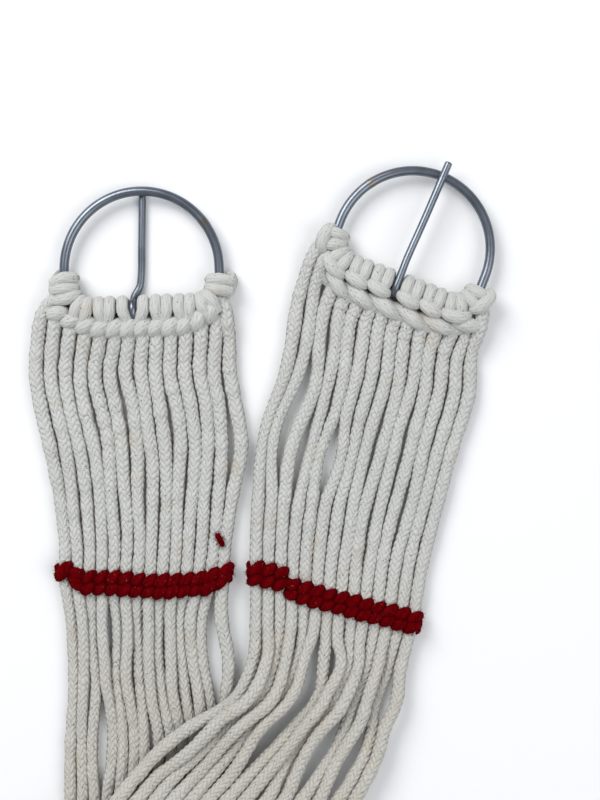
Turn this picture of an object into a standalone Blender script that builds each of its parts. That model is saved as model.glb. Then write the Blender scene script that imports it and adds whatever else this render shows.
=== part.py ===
"""A string cinch, the girth of a stock saddle: fourteen cotton cords hitched at each end to a steel
dee ring with a buckle tongue and bound by twined rows. It lies on a table, folded over once in its
middle, so that end A shows its back and end B its front. Metres, +Z up, table top at Z = 0."""

import math

import bmesh
import bpy
from mathutils import Matrix, Vector

MM = 0.001
SIDES = 8  # sides of a round wire
GAP = 0.3 * MM  # between pieces that touch

# Dee rings: round wire, a straight bar inside the hitches and a half-round top
RING_WIRE = 5.0 * MM
RING_HALF_WIDTH = 40.5 * MM  # middle line to wire centre
RING_RISE = 21.5 * MM  # bar to the centre of the half-round top
RING_CORNER = 13.0 * MM  # bend between bar and side

# Buckle tongues: wire with a hook round the bar, on the cinch's front face
TONGUE_WIRE = 4.0 * MM
TONGUE_HOOK_END = math.radians(340)  # where the hook stops, counted round the bar from the ring's plane

# Cord hitches: each wrap of cord round the ring's wire
WRAP_WIDTH = 5.7 * MM
WRAP_THICKNESS = 4.4 * MM  # cord pressed flat over the wire
WRAP_WAIST = 1.3 * MM  # how much thinner a hitch is between its wraps
BORE_PLAY = 0.5 * MM  # between the wire and the cord round it
BIGHT_CORD = 2.4 * MM  # the cord pressed thin where it passes under the tongue's hook
HOOK_PLAY = 0.6 * MM  # between the tongue's hook and the hitches beside it
HITCH_PLAY = 0.8 * MM  # between one hitch and the next

# White twined rows, below the hitches
ROW_HEIGHT = 8.0 * MM
ROW_DROP = 14.2 * MM  # bar to the row's middle
ROW_FLAT_PLAY = 2.5 * MM  # the row's straight stretch goes this far past the bar's
ROW_FLAT = RING_HALF_WIDTH - RING_CORNER + ROW_FLAT_PLAY  # half of that stretch
ROW_LIFT = 6.0 * MM  # how much the row has curved up towards the ring ...
ROW_LIFT_RUN = 16.0 * MM  # ... this far past its straight stretch
ROW_OVERHANG = 2.0 * MM  # the row's end past the middle of its outermost cord

# Warp cords
CORD = 6.0 * MM
STRANDS = 14
ENTRY_HEIGHT = 5.0 * MM
ENTRY_PLAY = 1.2 * MM  # between a cord's end and the row it goes into
TABLE_PLAY = 0.1 * MM

# Red twined bands and the end of their yarn
BAND_HEIGHT = 12.0 * MM
BAND_WALL = 1.8 * MM
BAND_PLAY = 0.8 * MM  # over and under the cords
BAND_SIDE_PLAY = 1.4 * MM  # beside the outermost cords
YARN = 2.4 * MM
YARN_TAIL_LENGTH = 7.0 * MM

BAR_HEIGHT = RING_WIRE / 2 + WRAP_THICKNESS  # the hitches rest on the table

# Each end: place and turn of the bar's middle, the side its front face is on, the tongue's hook and tip
# across the bar, the tongue's reach, where the first and the last cord leave the twined row across the bar,
# and the wraps of each hitch, counted outwards from the tongue's hook. A hitch of one wrap on both sides is
# one hitch that straddles the hook. The outermost hitch on the left is the twining cord's own.
ENDS = {
    "a": {
        "bar": (-62.2, 124.9),
        "turn": 2.3,
        "front": -1,
        "hook": -5.2,
        "shaft": -1.4,
        "tip": 1.6,
        "reach": 62.5,
        "row": (-52.0, 43.0),
        "left": (1, 2, 2, 3),
        "right": (1, 2, 2, 2, 2),
    },
    "b": {
        "bar": (70.9, 137.0),
        "turn": -21.2,
        "front": 1,
        "hook": -1.0,
        "shaft": -1.0,
        "tip": 1.3,
        "reach": 69.4,
        "row": (-45.0, 48.0),
        "left": (2, 2, 2, 2),
        "right": (2, 2, 2, 2),
    },
}

# The way of the cords from end A to end B, in millimetres: at each station the places of the first and
# the last cord, and how far every other cord is raised where they crowd. The others lie evenly between.
STATIONS = (
    ((-118.7, 92.5, 3.2), (-17.2, 92.5, 3.2), 0.0),
    ((-116.2, 73.5, 3.1), (-14.1, 73.5, 3.1), 0.0),
    ((-111.2, 51.5, 3.1), (-12.4, 51.5, 3.1), 0.0),
    ((-105.7, 25.0, 3.1), (-16.4, 25.0, 3.1), 0.0),
    ((-103.1, 1.5, 4.0), (-19.3, 1.5, 4.0), 0.0),
    ((-103.3, -16.1, 5.6), (-20.9, -16.1, 5.6), 0.0),
    ((-100.4, -35.5, 3.9), (-25.6, -35.5, 3.9), 2.4),
    ((-99.1, -59.5, 3.1), (-25.1, -59.5, 3.1), 2.9),
    ((-98.6, -80.5, 3.1), (-22.1, -80.5, 3.1), 2.3),
    ((-99.9, -102.5, 3.1), (-17.2, -102.5, 3.1), 0.0),
    ((-100.7, -127.5, 3.1), (-17.7, -133.5, 3.1), 0.0),
    ((-100.5, -143.5, 3.1), (-17.6, -171.5, 3.1), 0.0),
    ((-100.4, -154.5, 3.6), (-17.5, -185.5, 3.6), 0.0),
    ((-100.2, -163.7, 8.0), (-17.2, -195.3, 8.0), 0.0),
    ((-99.1, -167.4, 15.5), (-16.1, -199.0, 15.5), 0.0),
    ((-96.7, -164.7, 23.0), (-12.7, -195.8, 23.0), 0.0),
    ((-92.5, -157.9, 27.0), (-6.6, -189.0, 27.0), 0.0),
    ((-86.7, -148.5, 25.0), (2.9, -178.5, 25.0), 0.0),
    ((-82.0, -140.5, 20.0), (14.5, -167.5, 20.0), 0.0),
    ((-75.1, -130.5, 15.0), (27.6, -154.2, 15.0), 0.0),
    ((-64.6, -117.8, 11.4), (45.0, -135.7, 11.4), 0.0),
    ((-47.7, -103.1, 11.6), (55.0, -114.7, 8.0), 2.6),
    ((-30.3, -88.8, 12.4), (60.8, -98.8, 5.5), 4.8),
    ((-12.9, -76.2, 12.0), (66.6, -82.5, 4.0), 5.0),
    ((-4.0, -56.7, 7.2), (71.9, -63.5, 3.5), 3.4),
    ((-3.2, -38.2, 4.8), (76.1, -47.7, 4.4), 1.6),
    ((-3.2, -14.0, 5.6), (78.8, -36.7, 5.6), 0.0),
    ((-3.2, 6.5, 4.0), (83.5, -9.3, 4.0), 0.0),
    ((-1.4, 35.5, 3.1), (91.4, 20.8, 3.1), 0.0),
    ((3.9, 64.5, 3.1), (99.3, 51.5, 3.1), 0.0),
    ((12.9, 93.5, 3.1), (107.7, 80.3, 3.1), 0.0),
    ((18.9, 129.9, 3.2), (109.0, 97.0, 3.2), 0.0),
)
BANDS = {"a": 5, "b": 26}  # the station each red band is at
# Cords that stand off their even places, in millimetres: cord and station, then how far it is moved.
NUDGES = {
    (14, 6): (4.0, 0.0, 0.0),
    (14, 7): (7.5, 0.0, 0.0),
    (14, 8): (3.0, 0.0, 0.0),
}
TAIL_STATION = 4  # the yarn's tail lies between the last two cords here

COTTON = {"colour": (0.60, 0.58, 0.52, 1.0), "roughness": 0.92, "metallic": 0.0}
RED_YARN = {"colour": (0.13, 0.004, 0.007, 1.0), "roughness": 0.95, "metallic": 0.0}
STEEL = {"colour": (0.50, 0.52, 0.55, 1.0), "roughness": 0.22, "metallic": 1.0}


def clear_scene():
    for obj in list(bpy.data.objects):
        bpy.data.objects.remove(obj)


def material(name, look):
    found = bpy.data.materials.get(name)
    if found:
        return found
    made = bpy.data.materials.new(name)
    made.use_nodes = True
    shader = made.node_tree.nodes["Principled BSDF"]
    shader.inputs["Base Color"].default_value = look["colour"]
    shader.inputs["Roughness"].default_value = look["roughness"]
    shader.inputs["Metallic"].default_value = look["metallic"]
    return made


def add_object(name, data, look_name, look, parent=None):
    obj = bpy.data.objects.new(name, data)
    data.materials.append(material(look_name, look))
    obj.parent = parent
    bpy.context.scene.collection.objects.link(obj)
    return obj


def wire_data(name, points, diameter, cyclic=False):
    """Round wire or cord along the points, as a curve with a bevel."""
    data = bpy.data.curves.new(name, "CURVE")
    data.dimensions = "3D"
    data.bevel_depth = diameter / 2
    data.bevel_resolution = SIDES // 2 - 2
    data.use_fill_caps = True
    data.twist_mode = "MINIMUM"
    spline = data.splines.new("POLY")
    spline.points.add(len(points) - 1)
    for target, point in zip(spline.points, points):
        target.co = (*point, 1.0)
    spline.use_cyclic_u = cyclic
    return data


def mesh_data(name, build):
    """A mesh made by a function that fills a bmesh."""
    shape = bmesh.new()
    build(shape)
    bmesh.ops.recalc_face_normals(shape, faces=shape.faces)
    data = bpy.data.meshes.new(name)
    shape.to_mesh(data)
    shape.free()
    data.shade_smooth()
    data.set_sharp_from_angle(angle=math.radians(50))
    return data


def bridge(shape, loops, cyclic):
    """Quads between loops of vertices that follow each other."""
    following = loops[1:] + loops[:1] if cyclic else loops[1:]
    for near, far in zip(loops, following):
        for i in range(len(near)):
            j = (i + 1) % len(near)
            shape.faces.new((near[i], near[j], far[j], far[i]))


def ring_point(distance):
    """Place and direction in the ring's plane, at a distance along the wire from the bar's middle."""
    side = math.copysign(1.0, distance)
    left = abs(distance)
    straight = RING_HALF_WIDTH - RING_CORNER
    bend = RING_CORNER * math.pi / 2
    if left <= straight:
        return Vector((distance, 0, 0)), Vector((1, 0, 0))
    left -= straight
    if left <= bend:
        angle = left / RING_CORNER
        place = (straight + RING_CORNER * math.sin(angle), RING_CORNER * (1 - math.cos(angle)))
        return Vector((side * place[0], place[1], 0)), Vector((math.cos(angle), side * math.sin(angle), 0))
    left -= bend
    if left <= RING_RISE - RING_CORNER:
        return Vector((side * RING_HALF_WIDTH, RING_CORNER + left, 0)), Vector((0, side, 0))
    angle = (left - RING_RISE + RING_CORNER) / RING_HALF_WIDTH
    place = (RING_HALF_WIDTH * math.cos(angle), RING_RISE + RING_HALF_WIDTH * math.sin(angle))
    return Vector((side * place[0], place[1], 0)), Vector((-math.sin(angle), side * math.cos(angle), 0))


def ring_outline():
    straight = RING_HALF_WIDTH - RING_CORNER
    points = [Vector((-straight / 2, 0, 0)), Vector((straight / 2, 0, 0))]
    bend = RING_CORNER * math.pi / 2
    right = [ring_point(straight + bend * k / 5)[0] for k in range(6)]
    top = [
        Vector((RING_HALF_WIDTH * math.cos(a), RING_RISE + RING_HALF_WIDTH * math.sin(a), 0))
        for a in (math.pi * k / 18 for k in range(19))
    ]
    left = [Vector((-p.x, p.y, 0)) for p in reversed(right)]
    return points + right + top + left


def tongue_points(end):
    """From the hook's end, round the bar and along the shaft to the tip; +Z is the front."""
    radius = RING_WIRE / 2 + GAP + TONGUE_WIRE / 2
    turns = 9
    points = []
    for k in range(turns + 1):
        angle = TONGUE_HOOK_END + (math.pi / 2 - TONGUE_HOOK_END) * k / turns
        points.append(Vector((end["hook"] * MM, radius * math.cos(angle), radius * math.sin(angle))))
    shaft, tip, reach = end["shaft"] * MM, end["tip"] * MM, end["reach"] * MM
    points.append(Vector((end["hook"] * MM, 0.1 * reach, radius)))
    points.append(Vector((shaft, 0.22 * reach, radius)))
    points.append(Vector((shaft + (tip - shaft) * 0.5, 0.55 * reach, radius)))
    points.append(Vector((tip, reach, radius)))
    return [Vector((p.x, p.y, p.z * end["front"])) for p in points]


def add_wrap_sleeve(shape, start, wraps):
    """Cord wrapped round the ring's wire: a bored sleeve with a bulge for each wrap."""
    sides = 10
    bore = RING_WIRE / 2 + BORE_PLAY
    full = RING_WIRE / 2 + WRAP_THICKNESS
    outer, inner = [], []
    for k in range(2 * wraps + 1):
        place, along = ring_point(start + WRAP_WIDTH * k / 2)
        across = Vector((along.y, -along.x, 0))
        radius = full if k % 2 else full - WRAP_WAIST
        for loops, size in ((outer, radius), (inner, bore)):
            loop = []
            for j in range(sides):
                angle = math.pi / 2 + 2 * math.pi * j / sides
                offset = across * math.cos(angle) + Vector((0, 0, math.sin(angle)))
                loop.append(shape.verts.new(place + offset * size))
            loops.append(loop)
    bridge(shape, outer + inner[::-1], cyclic=True)


def hitch_data(name, centre, wraps):
    return mesh_data(name, lambda shape: add_wrap_sleeve(shape, centre - WRAP_WIDTH * wraps / 2, wraps))


def hitch_plan(end):
    """Middle and wraps of each hitch along the wire from left to right, laid outwards from the tongue's hook."""
    plan = []
    for side, counts in ((-1, end["left"]), (1, end["right"])):
        edge = TONGUE_WIRE / 2 + HOOK_PLAY
        for wraps in counts:
            plan.append((end["hook"] * MM + side * (edge + wraps * WRAP_WIDTH / 2), wraps))
            edge += wraps * WRAP_WIDTH + HITCH_PLAY
    return sorted(plan)


def split_hitch(name, first, last, parent):
    """Two wraps either side of the tongue, joined by the bight of their cord below the bar."""
    hitch = add_object(name, hitch_data(name, first, 1), "cotton", COTTON, parent)
    second = add_object(name + "_second", hitch_data(name + "_second", last, 1), "cotton", COTTON, parent)
    depth = RING_WIRE / 2 + GAP + TONGUE_WIRE + 1.5 * GAP + BIGHT_CORD / 2
    root = RING_WIRE / 2 + BORE_PLAY + BIGHT_CORD / 2
    route = (
        (first, -root),
        (first, -depth + BIGHT_CORD / 2),
        (first + BIGHT_CORD / 2, -depth),
        (last - BIGHT_CORD / 2, -depth),
        (last, -depth + BIGHT_CORD / 2),
        (last, -root),
    )
    tube = wire_data(name + "_bight", [Vector((x, y, 0)) for x, y in route], BIGHT_CORD)
    guide = bpy.data.objects.new(name + "_guide", tube)
    bight_mesh = bpy.data.meshes.new_from_object(guide)
    bpy.data.objects.remove(guide)
    weld = bmesh.new()
    weld.from_mesh(bight_mesh)
    bmesh.ops.remove_doubles(weld, verts=weld.verts, dist=0.01 * MM)
    bmesh.ops.recalc_face_normals(weld, faces=weld.faces)
    weld.to_mesh(bight_mesh)
    weld.free()
    bight = add_object(name + "_bight", bight_mesh, "cotton", COTTON, parent)
    for other in (second, bight):
        other.hide_render = True
        other.display_type = "WIRE"
        union = hitch.modifiers.new("union " + other.name, "BOOLEAN")
        union.operation = "UNION"
        union.object = other


def row_height(x):
    """The twined row's middle line: straight under the bar, curving up at its ends, and its slope."""
    past = max(0.0, abs(x) - ROW_FLAT)
    slope = 2 * ROW_LIFT * past / ROW_LIFT_RUN**2
    return ROW_LIFT * (past / ROW_LIFT_RUN) ** 2 - ROW_DROP, slope


def twined_row(shape, span):
    sides, steps = 10, 14
    start, end = span[0] * MM - ROW_OVERHANG, span[1] * MM + ROW_OVERHANG
    loops = []
    for k in range(steps + 1):
        x = start + (end - start) * k / steps
        y, slope = row_height(x)
        across = Vector((-math.copysign(slope, x), 1, 0)).normalized()
        loop = []
        for j in range(sides):
            angle = math.pi / 2 + 2 * math.pi * j / sides
            offset = across * (ROW_HEIGHT / 2 * math.cos(angle)) + Vector((0, 0, (BAR_HEIGHT - GAP) * math.sin(angle)))
            loop.append(shape.verts.new(Vector((x, y, 0)) + offset))
        loops.append(loop)
    bridge(shape, loops, cyclic=False)
    shape.faces.new(loops[0])
    shape.faces.new(loops[-1])


def row_entry(frame, span, share):
    """Where a cord leaves the twined row: share runs from 0 at the first cord to 1 at the last."""
    x = (span[0] + (span[1] - span[0]) * share) * MM
    y, slope = row_height(x)
    y -= ROW_HEIGHT / 2 * math.hypot(1, slope) + CORD / 2 * slope + ENTRY_PLAY
    point = frame @ Vector((x, y, 0))
    point.z = ENTRY_HEIGHT
    return point


def station_point(index, share, raised=False):
    first, last, stagger = STATIONS[index]
    point = Vector(first).lerp(Vector(last), share) * MM
    if raised:
        point.z += stagger * MM
    return point


def strand_route(number, frames):
    share = (number - 1) / (STRANDS - 1)
    route = [row_entry(frames["a"], ENDS["a"]["row"], share)]
    for index in range(len(STATIONS)):
        nudge = Vector(NUDGES.get((number, index), (0, 0, 0))) * MM
        route.append(station_point(index, share, number % 2 == 0) + nudge)
    route.append(row_entry(frames["b"], ENDS["b"]["row"], share))
    return route


def smooth_curve(route, longest):
    """Points on a smooth curve through the route, with an added one in each stretch over a length."""
    points = []
    for k in range(len(route) - 1):
        before = route[max(k - 1, 0)]
        start, end = route[k], route[k + 1]
        after = route[min(k + 2, len(route) - 1)]
        span = (end - start).length
        leave = (end - before).normalized() * span
        arrive = (after - start).normalized() * span
        pieces = 1 + int(span > longest)
        for j in range(pieces):
            t = j / pieces
            point = start * (2 * t**3 - 3 * t**2 + 1) + leave * (t**3 - 2 * t**2 + t)
            point += end * (3 * t**2 - 2 * t**3) + arrive * (t**3 - t**2)
            point.z = max(point.z, CORD / 2 + TABLE_PLAY)
            points.append(point)
    return points + [route[-1]]


def band_sleeve(shape, index):
    """A flat sleeve round all the cords at a station, its two edges square to the cords."""
    width = (station_point(index, 1) - station_point(index, 0)).length
    slot = CORD / 2 + BAND_PLAY
    end = (CORD / 2 + BAND_SIDE_PLAY) / width
    wall = BAND_WALL / width
    steps = 7
    inner = [(-end, slot / 2), (-end, slot)]
    outer = [(-end - wall, slot / 2), (-end, slot + BAND_WALL)]
    for k in range(1, steps):
        inner.append((k / steps, slot))
        outer.append((k / steps, slot + BAND_WALL))
    inner += [(1 + end, slot), (1 + end, slot / 2)]
    outer += [(1 + end, slot + BAND_WALL), (1 + end + wall, slot / 2)]
    loops = []
    for upper, side in ((inner, -1), (inner, 1), (outer, 1), (outer, -1)):
        lower = [(share, -z) for share, z in reversed(upper)]
        loop = []
        for share, z in upper + lower:
            along = station_point(index - 1, share) - station_point(index + 1, share)
            along.z = 0
            place = station_point(index, share) + along.normalized() * (side * BAND_HEIGHT / 2)
            loop.append(shape.verts.new(place + Vector((0, 0, z))))
        loops.append(loop)
    bridge(shape, loops, cyclic=True)


def yarn_tail_points():
    """In the groove between the last two cords, beside the band."""
    share = 1 - 0.5 / (STRANDS - 1)
    start = station_point(TAIL_STATION, share)
    onward = (station_point(TAIL_STATION - 1, share) - start).normalized()
    lift = CORD / 2 + YARN / 2 + GAP
    start.z += lift
    return [start + onward * (YARN_TAIL_LENGTH * k / 2) for k in range(3)]


def build():
    clear_scene()
    frames = {}
    for key, end in ENDS.items():
        place = Vector((end["bar"][0] * MM, end["bar"][1] * MM, BAR_HEIGHT))
        frames[key] = Matrix.Translation(place) @ Matrix.Rotation(math.radians(end["turn"]), 4, "Z")
        axis = bpy.data.objects.new("bar_axis_" + key, None)
        axis.matrix_world = frames[key]
        bpy.context.scene.collection.objects.link(axis)
        ring = wire_data("ring_" + key, ring_outline(), RING_WIRE, cyclic=True)
        add_object("ring_" + key, ring, "steel", STEEL, axis)
        tongue = wire_data("tongue_" + key, tongue_points(end), TONGUE_WIRE)
        add_object("tongue_" + key, tongue, "steel", STEEL, axis)
        plan = hitch_plan(end)
        number = 0
        while plan:
            number += 1
            name = f"hitch_{key}{number}"
            centre, wraps = plan.pop(0)
            if wraps == 1:
                split_hitch(name, centre, plan.pop(0)[0], axis)
            else:
                add_object(name, hitch_data(name, centre, wraps), "cotton", COTTON, axis)
        row = mesh_data("twined_row_" + key, lambda shape, span=end["row"]: twined_row(shape, span))
        add_object("twined_row_" + key, row, "cotton", COTTON, axis)
        band = mesh_data("red_band_" + key, lambda shape, index=BANDS[key]: band_sleeve(shape, index))
        add_object("red_band_" + key, band, "red yarn", RED_YARN)
    for number in range(1, STRANDS + 1):
        points = smooth_curve(strand_route(number, frames), longest=4.4 * CORD)
        add_object(f"strand_{number:02d}", wire_data("strand", points, CORD), "cotton", COTTON)
    add_object("yarn_tail", wire_data("yarn_tail", yarn_tail_points(), YARN), "red yarn", RED_YARN)


build()
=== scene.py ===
"""Looks of a string cinch: fourteen braided cotton cords hitched at each end to a steel dee ring with a
buckle tongue and bound by twined rows. The cinch lies on a pale floor, folded over once in its middle."""

import math
import random

import bpy
import numpy as np
from mathutils import Matrix, Vector


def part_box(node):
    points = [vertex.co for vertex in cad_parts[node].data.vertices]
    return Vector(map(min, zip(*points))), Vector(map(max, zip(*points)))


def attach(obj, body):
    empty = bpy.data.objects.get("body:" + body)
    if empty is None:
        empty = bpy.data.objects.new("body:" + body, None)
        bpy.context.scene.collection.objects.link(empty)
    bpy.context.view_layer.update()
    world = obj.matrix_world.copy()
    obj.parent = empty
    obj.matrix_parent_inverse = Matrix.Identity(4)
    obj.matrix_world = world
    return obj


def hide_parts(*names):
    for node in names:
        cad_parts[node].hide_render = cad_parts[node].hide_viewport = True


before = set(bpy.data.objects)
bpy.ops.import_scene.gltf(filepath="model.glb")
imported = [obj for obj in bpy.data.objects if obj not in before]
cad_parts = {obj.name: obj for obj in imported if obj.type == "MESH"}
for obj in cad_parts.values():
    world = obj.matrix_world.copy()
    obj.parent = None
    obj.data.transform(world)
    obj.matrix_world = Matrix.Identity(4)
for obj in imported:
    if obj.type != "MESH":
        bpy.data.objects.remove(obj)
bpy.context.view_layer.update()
MM = 0.001

# The view: straight down on the table, on the two rings and most of both halves.
# The fold in the middle of the cinch lies just past the lower edge.
VIEW_HEIGHT = 421.6 * MM  # of the table top that is in view
CAMERA_DISTANCE = 850 * MM
camera_data = bpy.data.cameras.new("view")
camera_data.sensor_fit = "VERTICAL"
camera_data.sensor_height = 24.0
camera_data.lens = 24.0 * CAMERA_DISTANCE / VIEW_HEIGHT
camera = bpy.data.objects.new("view", camera_data)
camera.location = (19.7 * MM, 77.7 * MM, CAMERA_DISTANCE)
bpy.context.scene.collection.objects.link(camera)
bpy.context.scene.camera = camera

# Warp cords: solid-braided cotton, each one length that runs from a hitch on ring A, through both red bands
# and the fold, to a hitch on ring B. Between the bindings they lie loose, round and a little wavy.
CORD_RADIUS = 3.8 * MM  # where the cords have room
CORD_PRESSED = 3.0 * MM  # where a binding holds them together
PLAITS = 8.0  # yarns each way round the cord
PLAIT_LENGTH = 3.6 * MM  # from one yarn to the next along the cord
STRANDS = 14
BAR_HEIGHT = 6.9 * MM
# Each ring: its bar's middle and turn on the table, the twined row's two ends, its drop below the bar and
# its rise at either end, how far the cords dip below the row, and which way the front face looks.
ENDS = {
    "a": {
        "bar": (-62.2, 124.9), "turn": 2.3, "row": (-52.0, 43.0), "drop": 9.2, "lift": (7.5, 13.0),
        "slope": 0.2, "front": -1,
    },
    "b": {
        "bar": (70.9, 137.0), "turn": -21.2, "row": (-45.0, 48.0), "drop": 12.6, "lift": (7.5, 7.5),
        "slope": 2.2, "front": 1,
    },
}
# At each station the places of the first and the last cord, and how far every other cord is raised.
STATIONS = (
    ((-118.7, 92.5, 3.2), (-17.2, 92.5, 3.2), 0.0),
    ((-116.2, 73.5, 3.1), (-14.1, 73.5, 3.1), 0.0),
    ((-111.2, 51.5, 3.1), (-12.4, 51.5, 3.1), 0.0),
    ((-105.7, 25.0, 3.1), (-16.4, 25.0, 3.1), 0.0),
    ((-103.1, 1.5, 4.0), (-19.3, 1.5, 4.0), 0.0),
    ((-103.3, -16.1, 5.6), (-20.9, -16.1, 5.6), 0.0),
    ((-100.4, -35.5, 3.9), (-25.6, -35.5, 3.9), 2.4),
    ((-99.1, -59.5, 3.1), (-25.1, -59.5, 3.1), 2.9),
    ((-98.6, -80.5, 3.1), (-22.1, -80.5, 3.1), 2.3),
    ((-99.9, -102.5, 3.1), (-17.2, -102.5, 3.1), 0.0),
    ((-100.7, -127.5, 3.1), (-17.7, -133.5, 3.1), 0.0),
    ((-100.5, -143.5, 3.1), (-17.6, -171.5, 3.1), 0.0),
    ((-100.4, -154.5, 3.6), (-17.5, -185.5, 3.6), 0.0),
    ((-100.2, -163.7, 8.0), (-17.2, -195.3, 8.0), 0.0),
    ((-99.1, -167.4, 15.5), (-16.1, -199.0, 15.5), 0.0),
    ((-96.7, -164.7, 23.0), (-12.7, -195.8, 23.0), 0.0),
    ((-92.5, -157.9, 27.0), (-6.6, -189.0, 27.0), 0.0),
    ((-86.7, -148.5, 25.0), (2.9, -178.5, 25.0), 0.0),
    ((-82.0, -140.5, 20.0), (14.5, -167.5, 20.0), 0.0),
    ((-75.1, -130.5, 15.0), (27.6, -154.2, 15.0), 0.0),
    ((-64.6, -117.8, 11.4), (45.0, -135.7, 11.4), 0.0),
    ((-47.7, -103.1, 11.6), (55.0, -114.7, 8.0), 2.6),
    ((-30.3, -88.8, 12.4), (60.8, -98.8, 5.5), 4.8),
    ((-12.9, -76.2, 12.0), (66.6, -82.5, 4.0), 5.0),
    ((-4.0, -56.7, 7.2), (71.9, -63.5, 3.5), 3.4),
    ((-3.2, -38.2, 4.8), (76.1, -47.7, 4.4), 1.6),
    ((-3.2, -14.0, 5.6), (78.8, -36.7, 5.6), 0.0),
    ((-3.2, 6.5, 4.0), (83.5, -9.3, 4.0), 0.0),
    ((-1.4, 35.5, 3.1), (91.4, 20.8, 3.1), 0.0),
    ((3.9, 64.5, 3.1), (99.3, 51.5, 3.1), 0.0),
    ((12.9, 93.5, 3.1), (107.7, 80.3, 3.1), 0.0),
    ((18.9, 129.9, 3.2), (109.0, 97.0, 3.2), 0.0),
)
# The last cord has slipped sideways: the cord, the station and how far.
NUDGES = {(14, 6): 4.0, (14, 7): 7.5, (14, 8): 3.0}
# The outermost cords run past the twined row, straight up into the corner hitches.
OUTER_ENDS = {
    ("a", 1): ((-43.5, 9.5, 0.5), (-48.5, 5.5, 1.5), (-53.5, -2.5, 0.0), (-56.0, -14.0, -2.5)),
    ("a", 14): ((40.0, 5.0, 0.0), (42.6, -0.5, 0.5), (43.6, -9.0, 0.0), (44.2, -17.0, -2.5)),
    ("b", 1): ((-43.0, 8.0, 0.5), (-46.5, 4.0, 1.5), (-47.5, -4.0, 0.5), (-47.2, -13.0, -2.0)),
    ("b", 2): ((-38.5, 3.5, 0.5), (-40.5, -1.0, 2.0), (-41.0, -7.5, 1.0), (-40.6, -15.0, -1.5)),
    ("b", 14): ((41.0, 7.0, 0.5), (45.8, 3.0, 1.5), (48.0, -6.0, 0.5), (48.4, -16.0, -2.0)),
}
# Gaps between the loose cords: the cord on the left, the station, half the length in stations, the width.
GAPS = (
    (2, 29.1, 1.4, 4.4), (3, 28.8, 1.0, 4.6), (5, 28.6, 0.8, 4.8), (6, 22.6, 2.3, 9.5), (7, 24.0, 0.7, 4.0),
    (10, 21.4, 1.4, 7.0), (12, 21.4, 1.3, 5.0), (13, 23.1, 0.9, 5.0), (1, 21.2, 1.2, 6.5),
    (3, 8.7, 1.3, 4.4), (4, 6.3, 0.8, 2.2), (6, 0.9, 0.9, 2.4), (13, 1.8, 1.0, 2.4), (8, 3.0, 0.8, 1.6),
    (11, 8.0, 0.9, 1.8), (7, 7.4, 0.7, 1.6), (9, 30.0, 0.8, 1.4), (11, 28.0, 0.9, 1.6),
)
CROSSING = ((6.0, 9.5), (19.5, 25.0))  # the stations between which the two halves lie on each other
CORD_CROSSED = 3.4 * MM  # the most a cord's radius is there
BOUND = (-1.0, 5.0, 26.0, float(len(STATIONS)))  # the stations where the cords are held


def node(tree, kind, inputs=(), **settings):
    """A node with its settings. Inputs go by name or number, to a value or to another node's socket."""
    made = tree.nodes.new(kind)
    for key, value in settings.items():
        setattr(made, key, value)
    for key, value in dict(inputs).items():
        if isinstance(value, bpy.types.NodeSocket):
            tree.links.new(value, made.inputs[key])
        else:
            made.inputs[key].default_value = value
    return made


def calc(tree, operation, *values):
    return node(tree, "ShaderNodeMath", enumerate(values), operation=operation).outputs[0]


def choose(tree, which, first, second):
    """The first value where which is 0, and the second where it is 1."""
    return calc(tree, "MULTIPLY_ADD", which, calc(tree, "SUBTRACT", second, first), first)


def hump(tree, value):
    """0 at 0 and at 1, and 1 half way."""
    return calc(tree, "MULTIPLY", calc(tree, "MULTIPLY", value, 4.0), calc(tree, "SUBTRACT", 1.0, value))


def braid(tree, round_vector, along, count, length):
    """The height of a braid, two yarns over and two under, and the places across and along each float."""
    place = node(tree, "ShaderNodeSeparateXYZ", {0: round_vector})
    turn = calc(tree, "DIVIDE", calc(tree, "ARCTAN2", place.outputs[1], place.outputs[0]), math.tau)
    # The yarns aren't laid quite evenly.
    slowly = calc(tree, "MULTIPLY", along, 160.0)
    place_along = node(tree, "ShaderNodeCombineXYZ", {0: place.outputs[0], 1: place.outputs[1], 2: slowly})
    drift = node(tree, "ShaderNodeTexNoise", {"Vector": place_along.outputs[0], "Scale": 1.0, "Detail": 1.0})
    parts = node(tree, "ShaderNodeSeparateXYZ", {0: drift.outputs["Color"]})
    around = calc(tree, "MULTIPLY_ADD", parts.outputs[0], 0.8, calc(tree, "MULTIPLY", turn, count))
    run = calc(tree, "MULTIPLY_ADD", parts.outputs[1], 1.0, calc(tree, "DIVIDE", along, length))
    left = calc(tree, "ADD", around, run)
    right = calc(tree, "SUBTRACT", around, run)
    squares = calc(tree, "ADD", calc(tree, "FLOOR", left), calc(tree, "FLOOR", right))
    fourth = calc(tree, "FLOORED_MODULO", squares, 4.0)
    over = calc(tree, "GREATER_THAN", fourth, 1.5)
    left_part, right_part = calc(tree, "FRACT", left), calc(tree, "FRACT", right)
    across = choose(tree, over, left_part, right_part)
    steps_in = calc(tree, "SUBTRACT", fourth, calc(tree, "MULTIPLY", over, 2.0))
    steps = calc(tree, "ADD", steps_in, choose(tree, over, right_part, left_part))
    lengthwise = calc(tree, "MULTIPLY", steps, 0.5)
    swell = calc(tree, "POWER", hump(tree, across), 0.6)
    arch = calc(tree, "MULTIPLY_ADD", hump(tree, lengthwise), 0.65, 0.35)
    return calc(tree, "MULTIPLY", swell, arch), across, lengthwise


def tree_with(kind, name, inputs, outputs):
    """A node tree with named sockets, and its input and output nodes."""
    tree = bpy.data.node_groups.new(name, kind)
    for way, sockets in (("INPUT", inputs), ("OUTPUT", outputs)):
        for label, socket_kind, value in sockets:
            made = tree.interface.new_socket(name=label, in_out=way, socket_type="NodeSocket" + socket_kind)
            if value is not None:
                made.default_value = value
    return tree, tree.nodes.new("NodeGroupInput"), tree.nodes.new("NodeGroupOutput")


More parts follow.
